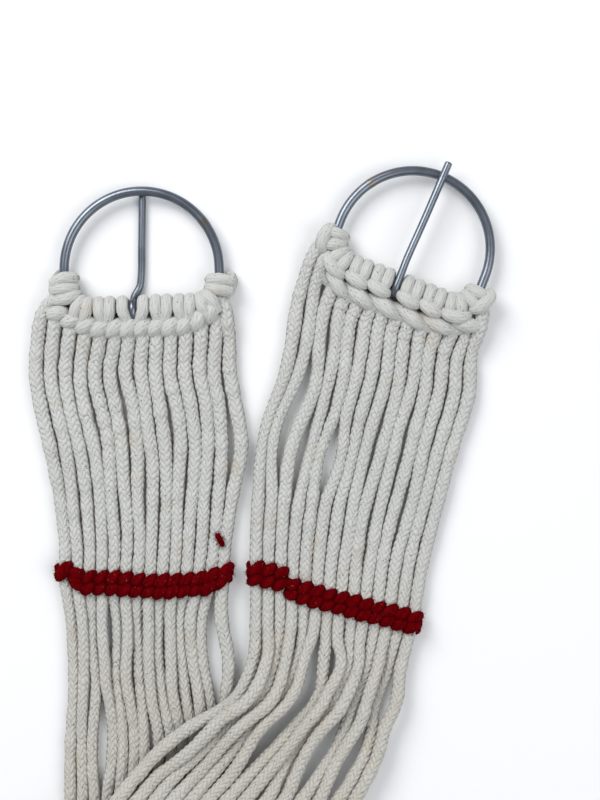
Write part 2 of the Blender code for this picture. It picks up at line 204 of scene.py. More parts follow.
def sweep_tree():
    """Sweeps a round section along each line and raises the floats of a braid on it."""
    tree, given, result = tree_with(
        "GeometryNodeTree",
        "braided sweep",
        (
            ("Lines", "Geometry", None),
            ("Sides", "Int", 24),
            ("Step", "Float", 0.7 * MM),
            ("Plaits", "Float", PLAITS),
            ("Plait Length", "Float", PLAIT_LENGTH),
            ("Start", "Float", 0.0),
            ("Relief", "Float", 0.8 * MM),
            ("Finish", "Material", None),
        ),
        (("Cord", "Geometry", None),),
    )
    lines = node(
        tree, "GeometryNodeResampleCurve",
        {"Curve": given.outputs["Lines"], "Length": given.outputs["Step"]},
        mode="LENGTH",
    )
    measure = node(tree, "GeometryNodeSplineParameter").outputs["Length"]
    # Each cord starts at another place in its pattern.
    from_start = calc(tree, "ADD", measure, given.outputs["Start"])
    marked = node(
        tree, "GeometryNodeStoreNamedAttribute",
        {"Geometry": lines.outputs[0], "Name": "along", "Value": from_start},
        data_type="FLOAT", domain="POINT",
    )
    section = node(
        tree, "GeometryNodeCurvePrimitiveCircle", {"Resolution": given.outputs["Sides"], "Radius": 1.0}
    )
    place = node(tree, "GeometryNodeInputPosition")
    rounded = node(
        tree, "GeometryNodeStoreNamedAttribute",
        {"Geometry": section.outputs[0], "Name": "round", "Value": place.outputs[0]},
        data_type="FLOAT_VECTOR", domain="POINT",
    )
    tube = node(
        tree, "GeometryNodeCurveToMesh",
        {
            "Curve": marked.outputs[0],
            "Profile Curve": rounded.outputs[0],
            "Scale": node(tree, "GeometryNodeInputRadius").outputs[0],
            "Fill Caps": True,
        },
    )
    round_vector = node(
        tree, "GeometryNodeInputNamedAttribute", {"Name": "round"}, data_type="FLOAT_VECTOR"
    )
    along = node(tree, "GeometryNodeInputNamedAttribute", {"Name": "along"}, data_type="FLOAT")
    height, _, _ = braid(
        tree, round_vector.outputs[0], along.outputs[0], given.outputs["Plaits"],
        given.outputs["Plait Length"],
    )
    # The line's radius is that of the braid's middle height.
    raised = calc(tree, "MULTIPLY", calc(tree, "SUBTRACT", height, 0.6), given.outputs["Relief"])
    outward = node(tree, "GeometryNodeInputNormal")
    lift = node(tree, "ShaderNodeVectorMath", {0: outward.outputs[0], "Scale": raised}, operation="SCALE")
    # How squarely each place faces the neighbours to the left or the right, where the cotton gets painted
    # shade.
    sideways = node(tree, "ShaderNodeSeparateXYZ", {0: outward.outputs[0]}).outputs[0]
    faced = node(
        tree, "GeometryNodeStoreNamedAttribute",
        {"Geometry": tube.outputs[0], "Name": "side", "Value": calc(tree, "ABSOLUTE", sideways)},
        data_type="FLOAT", domain="POINT",
    )
    moved = node(tree, "GeometryNodeSetPosition", {"Geometry": faced.outputs[0], "Offset": lift.outputs[0]})
    smooth = node(tree, "GeometryNodeSetShadeSmooth", {"Geometry": moved.outputs[0]})
    real = node(tree, "GeometryNodeRealizeInstances", {"Geometry": smooth.outputs[0]})
    painted = node(
        tree, "GeometryNodeSetMaterial", {"Geometry": real.outputs[0], "Material": given.outputs["Finish"]}
    )
    tree.links.new(painted.outputs[0], result.inputs[0])
    return tree


def add_nodes(source, tree, values):
    """Gives the object a Geometry Nodes modifier and sets its inputs by their sockets' identifiers."""
    modifier = source.modifiers.new(tree.name, "NODES")
    modifier.node_group = tree
    named = {key.replace("_", " "): value for key, value in values.items()}
    for item in tree.interface.items_tree:
        if item.item_type == "SOCKET" and item.in_out == "INPUT" and item.name in named:
            modifier[item.identifier] = named[item.name]


def made_mesh(name, source):
    """A plain mesh object of what the source object's modifiers make, in the source's place."""
    bpy.context.view_layer.update()
    graph = bpy.context.evaluated_depsgraph_get()
    mesh = bpy.data.meshes.new_from_object(source.evaluated_get(graph))
    bpy.data.objects.remove(source)
    piece = bpy.data.objects.new(name, mesh)
    bpy.context.scene.collection.objects.link(piece)
    return piece


def swept(name, tree, lines, finish, closed=False, **inputs):
    """A plain mesh of the tree's sweep along lines, each a list of points and radii."""
    data = bpy.data.curves.new(name + "_lines", "CURVE")
    data.dimensions = "3D"
    data.twist_mode = "MINIMUM"
    for line in lines:
        spline = data.splines.new("POLY")
        spline.points.add(len(line) - 1)
        for target, (point, radius) in zip(spline.points, line):
            target.co = (*point, 1.0)
            target.radius = radius
        spline.use_cyclic_u = closed
    source = bpy.data.objects.new(name + "_lines", data)
    bpy.context.scene.collection.objects.link(source)
    add_nodes(source, tree, {"Finish": finish} | inputs)
    return made_mesh(name, source)


def through(points, fine):
    """Places on a smooth curve through the points, with this many to each stretch."""
    places = []
    for k in range(len(points) - 1):
        before, start = points[max(k - 1, 0)], points[k]
        end, after = points[k + 1], points[min(k + 2, len(points) - 1)]
        span = (end - start).length
        leave, arrive = (end - before).normalized() * span, (after - start).normalized() * span
        for j in range(fine):
            t = j / fine
            place = start * (2 * t**3 - 3 * t**2 + 1) + leave * (t**3 - 2 * t**2 + t)
            places.append(place + end * (3 * t**2 - 2 * t**3) + arrive * (t**3 - t**2))
    return places + [points[-1]]


ROW_LEVEL = 16.0 * MM  # from the middle, where the row is level
ROW_CLIMB = 26.0 * MM  # the run in which it rises by its whole lift


def row_height(key, x):
    """The twined row's middle line under the bar, and its slope: it curves up at its ends."""
    past, run = max(0.0, abs(x) - ROW_LEVEL), ROW_CLIMB
    lift = ENDS[key]["lift"][x > 0] * MM
    return lift * (past / run) ** 2 - ENDS[key]["drop"] * MM, 2.0 * lift * past / run**2


end_frames = {}
for key, end in ENDS.items():
    bar = Vector((end["bar"][0] * MM, end["bar"][1] * MM, BAR_HEIGHT))
    end_frames[key] = Matrix.Translation(bar) @ Matrix.Rotation(math.radians(end["turn"]), 4, "Z")


def cord_end(key, share):
    """Four points: three close together inside the twined row, and a shoulder just below it."""
    first, last = ENDS[key]["row"]
    x = (first + (last - first) * share) * MM
    y, slope = row_height(key, x)
    down = Vector((slope * math.copysign(1, x) * 0.6, -1, 0)).normalized()
    hidden = Vector((x, y + 1.5 * MM, -1.5 * MM))
    shoulder = Vector((x, y, 0)) + down * (5.0 * MM) + Vector((0, 0, -ENDS[key]["slope"] * MM))
    hidden, shoulder = end_frames[key] @ hidden, end_frames[key] @ shoulder
    short = (hidden - shoulder) * 0.02
    return [hidden + short * 2, hidden + short, hidden, shoulder]


def station_point(index, share):
    first, last, _ = STATIONS[index]
    return Vector(first).lerp(Vector(last), share) * MM


def cord_route(number):
    """The points a cord passes, as many for every cord, so that their stations match."""
    share = (number - 1) / (STRANDS - 1)
    route, arrival = (
        [end_frames[key] @ (Vector(p) * MM) for p in OUTER_ENDS[key, number]]
        if (key, number) in OUTER_ENDS
        else cord_end(key, share)
        for key in ENDS
    )
    for index, (_, _, stagger) in enumerate(STATIONS):
        point = station_point(index, share)
        point.x += NUDGES.get((number, index), 0.0) * MM
        point.z += stagger * MM if number % 2 == 0 else 0.0
        route.append(point)
    return route + arrival[::-1]


FINE = 8  # places to each stretch between stations
END_POINTS = 4.0  # of each route, before its first station
routes = np.array([through(cord_route(number), FINE) for number in range(1, STRANDS + 1)])
stations_along = (np.arange(routes.shape[1]) / FINE) - END_POINTS
# The loose cords stand apart here and there, and crowd their neighbours beside such a gap.
CROWDING = 1.6  # cords over which a gap's push dies away
across_all = np.gradient(routes, axis=0)
across_all[:, :, 2] = 0
across_all /= np.linalg.norm(across_all, axis=2, keepdims=True)
for left_cord, station, reach, width in GAPS:
    opening = np.clip(1 - ((stations_along - station) / reach) ** 2, 0, 1) ** 1.5
    for number in range(1, STRANDS + 1):
        away = number - left_cord - 0.5
        shift = math.copysign(width * MM / 2, away) * math.exp(-(abs(away) - 0.5) / CROWDING)
        routes[number - 1] += across_all[number - 1] * (opening * shift)[:, None]
# How much room each cord has: half the distance to the nearer neighbour, square to its own way.
ahead = np.gradient(routes, axis=1)
ahead /= np.linalg.norm(ahead, axis=2, keepdims=True)
aside = np.diff(routes, axis=0)
room = np.full(routes.shape[:2], 1.0)
for offset, own in ((aside, slice(0, -1)), (-aside, slice(1, None))):
    square = offset - (offset * ahead[own]).sum(axis=2, keepdims=True) * ahead[own]
    room[own] = np.minimum(room[own], np.linalg.norm(square, axis=2) / 2)
radii = np.clip(room * 1.01, CORD_PRESSED, CORD_RADIUS)  # a touch over, so that neighbours meet
for begin, end in CROSSING:
    crossing = (stations_along > begin) & (stations_along < end)
    radii[:, crossing] = np.minimum(radii[:, crossing], CORD_CROSSED)
AVERAGED = 9  # places, so that a cord's radius changes slowly
kernel = np.ones(AVERAGED) / AVERAGED
radii = [np.convolve(np.pad(r, AVERAGED // 2, mode="edge"), kernel, mode="valid") for r in radii]
radii = np.array(radii)
# The cords' own slight waves: none where a binding holds them, and in full from 1.6 stations away.
loose = np.min([np.abs(stations_along - place) for place in BOUND], axis=0)
loose = np.clip((loose - 0.4) / 1.2, 0, 1)


def waves(rng, slowest, fastest):
    """The sum of three waves along a cord, at random rates per station."""
    return sum(
        np.sin(stations_along * rng.uniform(slowest, fastest) + rng.uniform(0, math.tau)) for _ in range(3)
    )


for number in range(STRANDS):
    rng = random.Random(number + 31)
    for axis, size in ((0, 1.3 * MM), (2, 1.1 * MM)):
        outer = number in (0, STRANDS - 1)
        routes[number, :, axis] += loose * waves(rng, 0.9, 2.6) / 3 * size * (0.4 if outer else 1.0)
    radii[number] *= 1 + 0.025 * waves(rng, 7.0, 16.0)
# They rest on the table by the braid's raised floats.
routes[:, :, 2] = np.maximum(routes[:, :, 2], radii + 0.4 * MM)


def painted_material(name, **values):
    """A material with a Principled shader and these plain values on its sockets."""
    material = bpy.data.materials.new(name)
    material.use_nodes = True
    shader = material.node_tree.nodes["Principled BSDF"]
    for key, value in values.items():
        shader.inputs[key.replace("_", " ")].default_value = value
    return material, material.node_tree, shader


def noise(tree, vector, scale, detail=3.0):
    """Smooth noise about 0.5."""
    made = node(tree, "ShaderNodeTexNoise", {"Vector": vector, "Scale": scale, "Detail": detail})
    return made.outputs["Fac"]


def spread(tree, value, low, high, out_low, out_high):
    """Maps low to out_low and high to out_high, and holds the value between them."""
    made = node(tree, "ShaderNodeMapRange", {0: value, 1: low, 2: high, 3: out_low, 4: out_high})
    return made.outputs[0]


def blended(tree, factor, first, second):
    """The first colour where factor is 0, and the second where it is 1."""
    return node(tree, "ShaderNodeMix", {0: factor, 6: first, 7: second}, data_type="RGBA").outputs[2]


def attribute(tree, name, output="Fac"):
    return node(tree, "ShaderNodeAttribute", attribute_name=name).outputs[output]


def scaled_place(tree, *parts):
    """A vector of three values, each times its own factor."""
    parts = {n: calc(tree, "MULTIPLY", value, factor) for n, (value, factor) in enumerate(parts)}
    return node(tree, "ShaderNodeCombineXYZ", parts).outputs[0]


def cotton_group():
    """Braided or laid cotton: painted shade in its creases and grooves, fibres along the floats, soil and
    plant specks.
    """
    tree, given, result = tree_with(
        "ShaderNodeTree",
        "cotton braid",
        (("Plaits", "Float", PLAITS), ("Plait Length", "Float", PLAIT_LENGTH), ("Soil", "Float", 0.5)),
        (("Color", "Color", None), ("Height", "Float", None)),
    )
    round_vector, along = attribute(tree, "round", "Vector"), attribute(tree, "along")
    height, across, lengthwise = braid(
        tree, round_vector, along, given.outputs["Plaits"], given.outputs["Plait Length"]
    )
    place = node(tree, "ShaderNodeTexCoord").outputs["Object"]
    fine = noise(tree, place, 2600.0, 2.0)
    # Fibres run with each float: fast across it and slow along it.
    fibre_place = scaled_place(tree, (across, 7.0), (lengthwise, 1.1), (along, 900.0))
    fibre = noise(tree, fibre_place, 1.0, 2.0)
    # Painted shade: the creases between the floats, and a little at random, are darkened.
    uneven = calc(
        tree, "MULTIPLY_ADD", noise(tree, place, 950.0, 2.0), 0.7, calc(tree, "SUBTRACT", height, 0.35)
    )
    crease_shade = spread(tree, uneven, 0.0, 0.30, 0.0, 1.0)
    cloud = noise(tree, place, 24.0, 4.0)
    spots = spread(tree, noise(tree, place, 62.0, 2.0), 0.62, 0.76, 0.0, 1.0)
    stain = calc(tree, "MULTIPLY", spots, given.outputs["Soil"])
    speck = node(tree, "ShaderNodeTexVoronoi", {"Vector": place, "Scale": 420.0}, feature="F1")
    speck_mask = calc(
        tree, "MULTIPLY",
        spread(tree, speck.outputs["Distance"], 0.12, 0.19, 1.0, 0.0),
        spread(tree, noise(tree, place, 150.0, 1.0), 0.55, 0.60, 0.0, 1.0),
    )
    clean = blended(tree, cloud, (0.53, 0.53, 0.50, 1), (0.65, 0.65, 0.62, 1))
    fibred = blended(tree, spread(tree, fibre, 0.3, 0.7, 0.0, 0.40), clean, (0.44, 0.435, 0.41, 1))
    # The cotton is darker and warmer towards the fold, in patches.
    down = node(tree, "ShaderNodeSeparateXYZ", {0: place}).outputs[1]
    toward_fold = spread(tree, down, 10 * MM, -110 * MM, 0.0, 0.75)
    patches = spread(tree, noise(tree, place, 38.0, 3.0), 0.35, 0.65, 0.5, 1.0)
    fold_tinted = blended(tree, calc(tree, "MULTIPLY", toward_fold, patches), fibred, (0.52, 0.475, 0.395, 1))
    # Painted shade darkens the creases between the floats.
    crease_shaded = blended(tree, crease_shade, (0.27, 0.26, 0.235, 1), fold_tinted)
    # Painted shade: the sides that face the neighbouring cords are darkened, as the grooves between them lie
    # in shade.
    groove_shade = spread(tree, attribute(tree, "side"), 0.82, 0.99, 0.0, 0.85)
    groove_shaded = blended(tree, groove_shade, crease_shaded, (0.20, 0.16, 0.12, 1))
    stained = blended(tree, calc(tree, "MULTIPLY", stain, 0.55), groove_shaded, (0.46, 0.36, 0.24, 1))
    specked = blended(tree, calc(tree, "MULTIPLY", speck_mask, 0.85), stained, (0.10, 0.07, 0.05, 1))
    rough = calc(tree, "ADD", calc(tree, "MULTIPLY", fibre, 0.22), calc(tree, "MULTIPLY", fine, 0.12))
    tree.links.new(specked, result.inputs["Color"])
    tree.links.new(calc(tree, "ADD", height, rough), result.inputs["Height"])
    return tree


def cotton(name, plaits, plait_length, relief, soil):
    """A cotton finish whose braid matches the piece it is on."""
    material, tree, shader = painted_material(
        name, Roughness=0.92, Specular_IOR_Level=0.18, Sheen_Weight=0.25, Sheen_Roughness=0.6
    )
    look = tree.nodes.new("ShaderNodeGroup")
    look.node_tree = cotton_look
    for label, value in (("Plaits", plaits), ("Plait Length", plait_length), ("Soil", soil)):
        look.inputs[label].default_value = value
    bump = node(
        tree, "ShaderNodeBump", {"Strength": 0.9, "Distance": relief, "Height": look.outputs["Height"]}
    )
    tree.links.new(look.outputs["Color"], shader.inputs["Base Color"])
    tree.links.new(bump.outputs["Normal"], shader.inputs["Normal"])
    return material


cotton_look = cotton_group()
cord_sweep = sweep_tree()
warp_finish = cotton("braided cotton", PLAITS, PLAIT_LENGTH, 0.5 * MM, 0.6)
for number in range(1, STRANDS + 1):
    path = [Vector(p) for p in routes[number - 1]]
    line = list(zip(path, radii[number - 1]))
    cord = swept(
        f"warp_cord_{number:02d}", cord_sweep, [line], warp_finish, Relief=0.7 * MM, Start=number * 0.9
    )
    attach(cord, "webbing")
    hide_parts(f"strand_{number:02d}")

# Dee rings: 5 mm round stainless wire bent to a straight bar and a half-round top and closed by a weld,
# which has left a brownish heat tint. The bar lies inside the hitches, and the top takes the strap.
RING_WIRE = 2.5 * MM  # its radius
RING_HALF_WIDTH = 40.5 * MM
RING_RISE = 21.5 * MM
RING_CORNER = 13.0 * MM
WELD_ANGLES = {"a": 35.0, "b": 144.0}  # degrees round the half-round top, from the right
WELD_TINT = (0.20, 0.165, 0.125, 1)


def ring_point(distance):
    """Place and direction in the ring's plane, at a distance along the wire from the bar's middle."""
    side, left = math.copysign(1.0, distance), abs(distance)
    straight, bend = RING_HALF_WIDTH - RING_CORNER, RING_CORNER * math.pi / 2
    if left <= straight:
        return Vector((distance, 0, 0)), Vector((1, 0, 0))
    if left <= straight + bend:
        angle = (left - straight) / RING_CORNER
        out = straight + RING_CORNER * math.sin(angle)
        place = Vector((side * out, RING_CORNER * (1 - math.cos(angle)), 0))
        return place, Vector((math.cos(angle), side * math.sin(angle), 0))
    return Vector((side * RING_HALF_WIDTH, RING_CORNER + left - straight - bend, 0)), Vector((0, side, 0))


def drawn_steel_group():
    """Polished drawn wire: cloudy polish, fine draw lines and a few dark nicks."""
    tree, given, result = tree_with(
        "ShaderNodeTree",
        "drawn steel",
        (("Color", "Color", (0.17, 0.19, 0.22, 1)),),
        (("Color", "Color", None), ("Roughness", "Float", None), ("Height", "Float", None)),
    )
    place = node(tree, "ShaderNodeTexCoord").outputs["Object"]
    round_vector, along = attribute(tree, "round", "Vector"), attribute(tree, "along")
    around = node(tree, "ShaderNodeSeparateXYZ", {0: round_vector})
    line_place = scaled_place(tree, (around.outputs[0], 26.0), (around.outputs[1], 26.0), (along, 60.0))
    lines = noise(tree, line_place, 1.0, 3.0)
    cloud = noise(tree, place, 130.0, 4.0)
    nick = spread(tree, noise(tree, place, 900.0, 2.0), 0.70, 0.78, 0.0, 1.0)
    shade = spread(tree, cloud, 0.3, 0.7, 0.85, 1.15)
    colour = node(
        tree, "ShaderNodeVectorMath", {0: given.outputs["Color"], "Scale": shade}, operation="SCALE"
    ).outputs[0]
    nicked = blended(tree, calc(tree, "MULTIPLY", nick, 0.5), colour, (0.10, 0.10, 0.11, 1))
    rough = calc(tree, "ADD", spread(tree, lines, 0.3, 0.7, 0.24, 0.38), calc(tree, "MULTIPLY", nick, 0.25))
    height = calc(tree, "SUBTRACT", calc(tree, "MULTIPLY", lines, 0.4), nick)
    for label, value in (("Color", nicked), ("Roughness", rough), ("Height", height)):
        tree.links.new(value, result.inputs[label])
    return tree


def steel(name, tint_place=None):
    """Polished steel, with a weld's heat tint round a place if there is one."""
    material, tree, shader = painted_material(name, Metallic=1.0)
    look = tree.nodes.new("ShaderNodeGroup")
    look.node_tree = steel_look
    colour = look.outputs["Color"]
    if tint_place is not None:
        place = node(tree, "ShaderNodeTexCoord").outputs["Object"]
        away = node(
            tree, "ShaderNodeVectorMath", {0: place, 1: tint_place}, operation="DISTANCE"
        ).outputs["Value"]
        ragged = calc(tree, "MULTIPLY_ADD", noise(tree, place, 700.0), 1.6 * MM, away)
        colour = blended(tree, spread(tree, ragged, 3.2 * MM, 4.4 * MM, 0.85, 0.0), colour, WELD_TINT)
    bump = node(
        tree, "ShaderNodeBump",
        {"Strength": 0.25, "Distance": 0.05 * MM, "Height": look.outputs["Height"]},
    )
    tree.links.new(colour, shader.inputs["Base Color"])
    tree.links.new(look.outputs["Roughness"], shader.inputs["Roughness"])
    tree.links.new(bump.outputs["Normal"], shader.inputs["Normal"])
    return material


def ring_top(angle):
    """A place on the half-round top, by its angle from the right."""
    return Vector((RING_HALF_WIDTH * math.cos(angle), RING_RISE + RING_HALF_WIDTH * math.sin(angle), 0))


steel_look = drawn_steel_group()
for key in ENDS:
    straight, bend = RING_HALF_WIDTH - RING_CORNER, RING_CORNER * math.pi / 2
    right = [ring_point(straight + bend * k / 12)[0] for k in range(13)]
    top = [ring_top(math.pi * k / 60) for k in range(61)]
    outline = [Vector((0, 0, 0))] + right + top + [Vector((-p.x, p.y, 0)) for p in reversed(right)]
    weld = ring_top(math.radians(WELD_ANGLES[key]))
    line = []
    for place in outline:
        # The weld's bead was ground nearly flush.
        bead = 0.05 * math.exp(-(((place - weld).length / (2.2 * MM)) ** 2))
        line.append((end_frames[key] @ place, RING_WIRE * (1 + bead)))
    ring = swept(
        f"dee_ring_{key}", cord_sweep, [line], steel(f"ring steel {key}", end_frames[key] @ weld),
        closed=True, Relief=0.0, Sides=32, Step=1.0 * MM,
    )
    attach(ring, f"ring_{key}")
    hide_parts(f"ring_{key}")

# Buckle tongues: 4 mm steel wire bent round the ring's bar to an eye, the end sawn off square and its
# edge rounded. They swing on the bar between the hitches and lie on the ring's top on the front face.
TONGUE_WIRE = 2.0 * MM  # its radius
TONGUE_PLAY = 0.3 * MM
TONGUE_EYE_END = 340.0  # degrees round the bar from the ring's plane
# Where each part of a tongue is along the bar, and how far its tip reaches from the bar.
TONGUES = {
    "a": {"hook": -5.2, "shaft": -1.4, "tip": 1.6, "reach": 62.5},
    "b": {"hook": -1.0, "shaft": -1.0, "tip": 1.3, "reach": 69.4},
}
tongue_finish = steel("tongue steel")
for key, tongue in TONGUES.items():
    eye = RING_WIRE + TONGUE_PLAY + TONGUE_WIRE
    hook, shaft, tip, reach = (tongue[part] * MM for part in ("hook", "shaft", "tip", "reach"))
    angles = [math.radians(TONGUE_EYE_END + (90.0 - TONGUE_EYE_END) * k / 14) for k in range(15)]
    bent = [Vector((hook, eye * math.cos(a), eye * math.sin(a))) for a in angles]
    bent += [Vector((hook, 0.1 * reach, eye)), Vector((shaft, 0.22 * reach, eye))]
    bent += [Vector((shaft + (tip - shaft) * 0.5, 0.55 * reach, eye)), Vector((tip, reach, eye))]
    path = through([Vector((p.x, p.y, p.z * ENDS[key]["front"])) for p in bent], 6)
    path = [end_frames[key] @ p for p in path]
    onward = (path[-1] - path[-2]).normalized()
    line = [(p, TONGUE_WIRE) for p in path[:-1]]
    # Both ends' edges are rounded.
    for back, share in ((0.7, 1.0), (0.35, 0.93), (0.1, 0.80), (0.0, 0.62)):
        line.append((path[-1] - onward * (back * MM), TONGUE_WIRE * share))
    start_way = (path[0] - path[1]).normalized()
    line[:1] = [(path[0] + start_way * (0.3 * MM), TONGUE_WIRE * 0.7), (path[0], TONGUE_WIRE * 0.92)]
    piece = swept(
        f"buckle_tongue_{key}", cord_sweep, [line], tongue_finish, Relief=0.0, Sides=28, Step=0.3 * MM,
    )
    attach(piece, f"tongue_{key}")
    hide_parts(f"tongue_{key}")

# Hitches: each pair of warp cords is one doubled cord, whose bight is hitched round the ring's wire in two
# wraps pulled tight, which fans out its fibres. The bight shows on the front face, a V of the two wraps on
# the back. The outermost hitch on the left is the twining cord's end. Corner hitches turn with the ring.
WRAP_WIDTH = 5.7 * MM  # from one wrap to the next
WRAP_CORD = 3.3 * MM  # the wrap's radius
WRAP_OUT = 4.75  # mm from the wire's middle line to the wrap's
WRAP_FROM, WRAP_TO, WRAP_STEPS = 28, 332, 20  # degrees round the wire, and steps
HITCH_PLAY = 0.8 * MM
HOOK_PLAY = 0.6 * MM
# The wraps of each hitch, outwards from the tongue's hook, on its left and on its right.
HITCHES = {"a": ((1, 2, 2, 3), (1, 2, 2, 2, 2)), "b": ((2, 2, 2, 2), (2, 2, 2, 2))}
CORNER_HITCHES = (1, 2, 7, 8)
HITCH_PLAITS = 12.0
HITCH_PLAIT_LENGTH = 8.0 * MM
hitch_finish = cotton("hitched cotton", HITCH_PLAITS, HITCH_PLAIT_LENGTH, 0.25 * MM, 0.7)


def across_wire(key, distance, out, up, shift=0.0):
    """A place given from the wire's middle line: out of the ring, upwards and along the wire."""
    place, way = ring_point(distance)
    outwards = Vector((way.y, -way.x, 0))
    height = max(up * MM, WRAP_CORD - BAR_HEIGHT + 0.1 * MM)
    return end_frames[key] @ (place + outwards * (out * MM) + way * shift + Vector((0, 0, height)))


def wrap_line(key, distance, middle, rng):
    """One wrap round the wire: on the back face its lower ends lean towards the hitch's middle."""
    back = -ENDS[key]["front"]
    line = []
    tilt = rng.uniform(-0.25, 0.25)
    for k in range(WRAP_STEPS + 1):
        angle = math.radians(WRAP_FROM + (WRAP_TO - WRAP_FROM) * k / WRAP_STEPS)
        low = max(0.0, math.cos(angle))
        on_back = max(0.0, math.sin(angle) * back) > 0
        reach = WRAP_OUT + (2.6 if on_back else 0.6) * low**2
        lean = (middle - distance) * (0.55 if on_back else 0.25) * low**1.5
        sway = tilt * MM * math.sin(angle)
        point = across_wire(key, distance, reach * math.cos(angle), WRAP_OUT * math.sin(angle), lean + sway)
        line.append((point, WRAP_CORD * (1.0 - 0.12 * low) * rng.uniform(0.985, 1.015)))
    return line


def bight_line(key, first, last, rng):
    """The bight across the two wraps on the front face."""
    front = ENDS[key]["front"]
    middle, half = (first + last) / 2, (last - first) / 2 + 2.0 * MM
    dip = rng.uniform(-0.35, 0.35)
    line = []
    for share, out, up, size in (
        (-1.02, 2.6, 0.8, 0.80), (-0.90, 3.5, 3.2, 0.92), (-0.55, 4.5, 5.0, 1.02), (0.0, 5.2, 5.6, 1.10),
        (0.55, 5.7, 5.0, 1.02), (0.90, 5.4, 3.2, 0.92), (1.02, 4.8, 0.8, 0.80),
    ):
        place = across_wire(key, middle + half * share, out + dip * share, up * front)
        line.append((place, WRAP_CORD * size))
    points = through([p for p, _ in line], 5)
    sizes = np.interp(np.arange(len(points)) / 5, np.arange(len(line)), [r for _, r in line])
    return list(zip(points, sizes))


for key, sides in HITCHES.items():
    hook = TONGUES[key]["hook"] * MM
    plan = []
    for side, counts in zip((-1, 1), sides):
        edge = TONGUE_WIRE + HOOK_PLAY
        for wraps in counts:
            plan.append([hook + side * (edge + WRAP_WIDTH * (n + 0.5)) for n in range(wraps)])
            edge += wraps * WRAP_WIDTH + HITCH_PLAY
    plan.sort(key=min)
    # Two single wraps beside the hook are one hitch that straddles it.
    single = [n for n, places in enumerate(plan) if len(places) == 1]
    if single:
        plan[single[0]:single[1] + 1] = [plan[single[0]] + plan[single[1]]]
    for number, places in enumerate(plan, start=1):
        places.sort()
        rng = random.Random(number * 7 + ord(key))
        middle = sum(places) / len(places)
        lines = [wrap_line(key, place, middle, rng) for place in places]
        for first, last in zip(places, places[1:]):
            if last - first < 1.5 * WRAP_WIDTH:
                lines.append(bight_line(key, first, last, rng))
        hitch = swept(
            f"cord_hitch_{key}{number}", cord_sweep, lines, hitch_finish, Relief=0.25 * MM,
            Start=number * 0.4, Plaits=HITCH_PLAITS, Plait_Length=HITCH_PLAIT_LENGTH, Step=0.6 * MM,
        )
        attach(hitch, f"ring_{key}" if number in CORNER_HITCHES else "webbing")
        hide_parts(f"hitch_{key}{number}")

# Twined rows: the twining cord, doubled, laid in front of and behind each warp cord in turn just below the
# hitches, so that its two parts twist about each other like a rope and curl up to the corner hitches.
ROW_PLAIT_LENGTH = 6.0 * MM
ROW_STEPS = 12  # from one cord to the next
# Each row: how far its parts swing sideways and up, their radius and how much it varies, the floats to each
# cord, and the cords at which it begins and ends.
ROWS = {
    "a": {"side": 2.4, "depth": 3.0, "cord": 4.0, "swell": 0.27, "floats": 1.0, "from": 0.7, "to": 12.4},
    "b": {"side": -1.9, "depth": 2.8, "cord": 3.9, "swell": 0.32, "floats": 0.5, "from": 0.8, "to": 12.7},
}
row_finish = cotton("twined cotton", HITCH_PLAITS, ROW_PLAIT_LENGTH, 0.3 * MM, 0.5)
for key, row in ROWS.items():
    first, last = (x * MM for x in ENDS[key]["row"])
    spacing = (last - first) / (STRANDS - 1)
    lines = []
    for part in range(2):
        line = []
        for k in range(round(row["from"] * ROW_STEPS), round(row["to"] * ROW_STEPS) + 1):
            cord_number = k / ROW_STEPS
            x = first + spacing * cord_number
            y, slope = row_height(key, x)
            angle = math.pi * (cord_number * row["floats"] + 0.5 + part)
            side = -row["side"] * MM * math.cos(angle)
            up = max(row["depth"] * MM * math.sin(angle), row["cord"] * MM + 0.1 * MM - BAR_HEIGHT)
            across = Vector((-math.copysign(slope, x), 1, 0)).normalized()
            swell = 1.0 - row["swell"] * (1 - abs(math.sin(angle)))
            size = row["cord"] * MM * swell * (1.0 + 0.05 * math.sin(2.3 * cord_number + part))
            line.append((end_frames[key] @ (Vector((x, y, up)) + across * side), size))
        lines.append(line)
    twined = swept(
        f"twined_cord_{key}", cord_sweep, lines, row_finish, Relief=0.35 * MM,
        Plaits=HITCH_PLAITS, Plait_Length=ROW_PLAIT_LENGTH, Step=0.6 * MM,
    )
    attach(twined, "webbing")
    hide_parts(f"twined_row_{key}")

# Red bands: thick dark red wool yarn, twined in two rows over and under every cord to hold them side by
# side. The yarn is soft and hairy, and its rows climb where the outer cords have pulled them.
YARN = 2.9 * MM  # its radius
YARN_PLIES = 3.0
YARN_TWIST = 4.5 * MM
BAND_ROW = 5.4 * MM  # from one row to the next
BAND_SLANT = 1.7 * MM  # how far each float leans
BAND_DEPTH = 4.3 * MM  # how far the yarn's middle line goes above and below the cords'
BAND_STEPS = 12  # from one cord to the next
# By cord, how far a band climbs from its station in mm, and how close together its two rows are.
BANDS = {
    "a": {
        "station": 5,
        "climb": (
            (-0.6, 3.2), (0.2, 4.8), (0.7, 4.2), (1.2, -1.2), (5.0, -2.2), (7.5, -3.8), (11.6, -2.2),
            (12.6, 0.6), (13.6, 4.2),
        ),
        "close": ((-0.6, 0.25), (0.6, 0.25), (1.0, 1.0), (12.2, 1.0), (13.6, 0.55)),
    },
    "b": {
        "station": 26,
        "climb": ((-0.6, 0.0), (0.5, 1.6), (2.4, 2.2), (2.9, -2.2), (8.0, -2.0), (13.6, -1.4)),
        "close": ((-0.6, 0.9), (0.8, 1.1), (2.4, 1.1), (3.0, 0.95), (12.6, 0.95), (13.6, 0.8)),
    },
}


